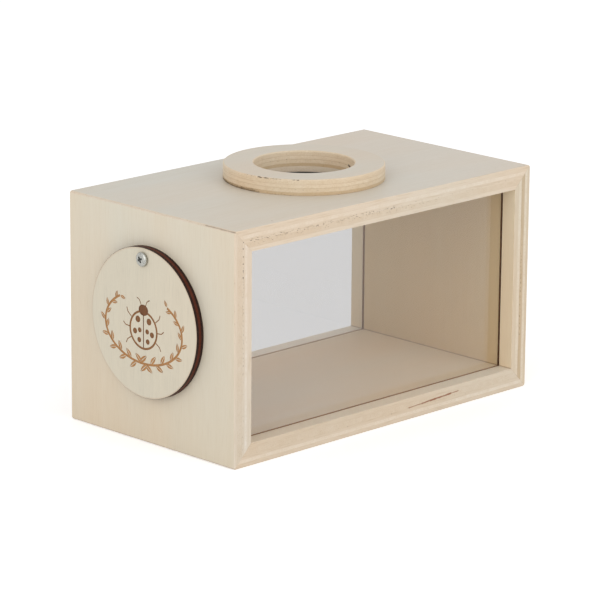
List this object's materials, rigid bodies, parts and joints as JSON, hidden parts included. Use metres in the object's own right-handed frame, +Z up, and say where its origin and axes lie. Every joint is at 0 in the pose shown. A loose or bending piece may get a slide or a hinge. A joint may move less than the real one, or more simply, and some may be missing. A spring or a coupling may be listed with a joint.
{
  "type": "bug viewer box",
  "caption": "Plywood viewing box for insects with clear panes front and back, a magnifier lens under a ring on top and a round swivel door on the end.",
  "frame": {"origin": "middle of the underside of the case", "axes": "+X along the case, from the swivel door's end to the plain end; -Y is the front pane's side; +Z up"},
  "size_m": [0.1861, 0.101, 0.108],
  "materials": {
    "plywood": "bare sanded pale plywood, layers open at the cut edges",
    "door_plywood": "bare sanded pale plywood with a laser-burnt edge",
    "clear_sheet": "polished clear acrylic sheet",
    "lens": "polished clear moulded acrylic",
    "black_rubber": "matte black rubber",
    "zinc_plate": "bright zinc plate"
  },
  "bodies": {
    "case": {"top_panel": "plywood", "bottom_panel": "plywood", "left_end_panel": "plywood", "right_end_panel": "plywood", "front_pane": "clear_sheet", "back_pane": "clear_sheet", "lens_ring": "plywood", "magnifier_lens": "lens", "lens_retainer": "black_rubber", "pivot_screw": "zinc_plate"},
    "door": {"door_disc": "door_plywood"}
  },
  "joints": [
    {"name": "door_swing", "type": "hinge", "parent": "case", "child": "door", "pos_m": [-0.0921, 0, 0.0811], "axis": [-1, 0, 0], "continuous": true}
  ]
}
